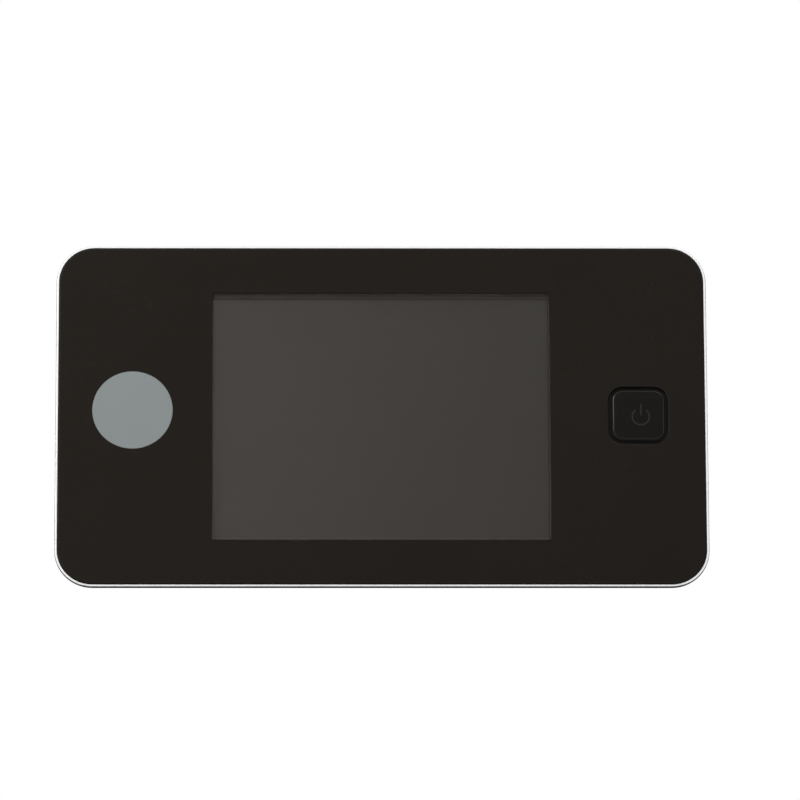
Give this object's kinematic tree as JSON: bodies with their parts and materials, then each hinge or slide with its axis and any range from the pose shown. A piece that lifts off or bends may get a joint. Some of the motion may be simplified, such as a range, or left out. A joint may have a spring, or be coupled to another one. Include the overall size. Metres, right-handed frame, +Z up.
{
  "type": "peephole door camera",
  "caption": "Indoor display unit with a square power key on a hook bracket, and an outdoor camera barrel drawn through the door by a clamp sleeve.",
  "frame": {"origin": "on the axis of the hole through the door, at the door's inner face", "axes": "+Z up, -Y to the room (the way the display faces), +Y through the door to the outside, +X to the right as the display is looked at"},
  "size_m": [0.125, 0.0661, 0.068],
  "materials": {
    "gloss_black": "polished",
    "clear_window": "clear, faintly tinted",
    "badge_grey": "satin",
    "bright_trim": "plated",
    "frame_black": "semi-gloss",
    "foam_black": "closed-cell foam",
    "display_glass": "dark, off",
    "light_guide": "clear",
    "tray_white": "matte",
    "flex_amber": "satin film",
    "socket_ivory": "matte",
    "moulded_black": "fine texture",
    "switch_steel": "stamped",
    "board_green": "solder mask",
    "chip_black": "matte",
    "screw_steel": "zinc",
    "cell_jacket": "satin sleeve",
    "nickel": "nickel plated",
    "bracket_steel": "zinc plated",
    "sleeve_metal": "machined",
    "head_metal": "satin nickel",
    "rubber_black": "matte",
    "clear_glass": "polished",
    "lens_black": "black anodised",
    "sensor_dark": "glossy"
  },
  "bodies": {
    "bracket": {"mounting_bracket": "bracket_steel", "bracket_pad": "foam_black"},
    "unit": {"front_bezel": "gloss_black", "display_window": "clear_window", "badge_disc": "badge_grey", "chrome_trim": "bright_trim", "mid_frame": "frame_black", "display_gasket": "foam_black", "lcd_panel": "display_glass", "light_guide": "light_guide", "backlight_tray": "tray_white", "lcd_flex": "flex_amber", "flex_socket": "socket_ivory", "tact_switch": "switch_steel", "main_board": "board_green", "board_chips": "chip_black", "camera_socket": "socket_ivory", "board_screws": "screw_steel", "case_screws": "screw_steel", "rear_cover": "moulded_black", "battery_cell_left": "cell_jacket", "battery_cell_right": "cell_jacket", "contact_bridge": "nickel", "contact_positive": "nickel", "contact_negative": "nickel", "contact_springs": "nickel"},
    "power_key": {"power_button": "gloss_black", "switch_plunger": "moulded_black"},
    "battery_door": {"battery_door": "moulded_black"},
    "sleeve": {"clamp_sleeve": "sleeve_metal"},
    "camera": {"camera_barrel": "head_metal", "head_gasket": "rubber_black", "head_shroud": "head_metal", "glass_seal": "rubber_black", "front_glass": "clear_glass", "lens_barrel": "lens_black", "front_element": "clear_glass", "rear_element": "clear_glass", "lens_holder": "moulded_black", "sensor_board": "board_green", "image_sensor": "sensor_dark", "ribbon_socket": "socket_ivory"}
  },
  "joints": [
    {"name": "unit_lift", "type": "slide", "parent": "bracket", "child": "unit", "axis": [0, 0, 1], "range_m": [0, 0.006]},
    {"name": "button_press", "type": "slide", "parent": "unit", "child": "power_key", "axis": [0, 1, 0], "range_m": [0, 0.0004], "stiffness_N_per_m": 4000},
    {"name": "battery_door_slide", "type": "slide", "parent": "unit", "child": "battery_door", "axis": [-1, 0, 0], "range_m": [0, 0.024]},
    {"name": "sleeve_turn", "type": "hinge", "parent": "bracket", "child": "sleeve", "pos_m": [0, 0, 0], "axis": [0, -1, 0], "range_deg": [0, 3600]},
    {"name": "door_thickness", "type": "slide", "parent": "bracket", "child": "camera", "axis": [0, 1, 0], "range_m": [0, 0.01]}
  ],
  "couplings": [
    {"joint": "sleeve_turn", "follows": "door_thickness", "rad_per_m": 6283.2}
  ]
}
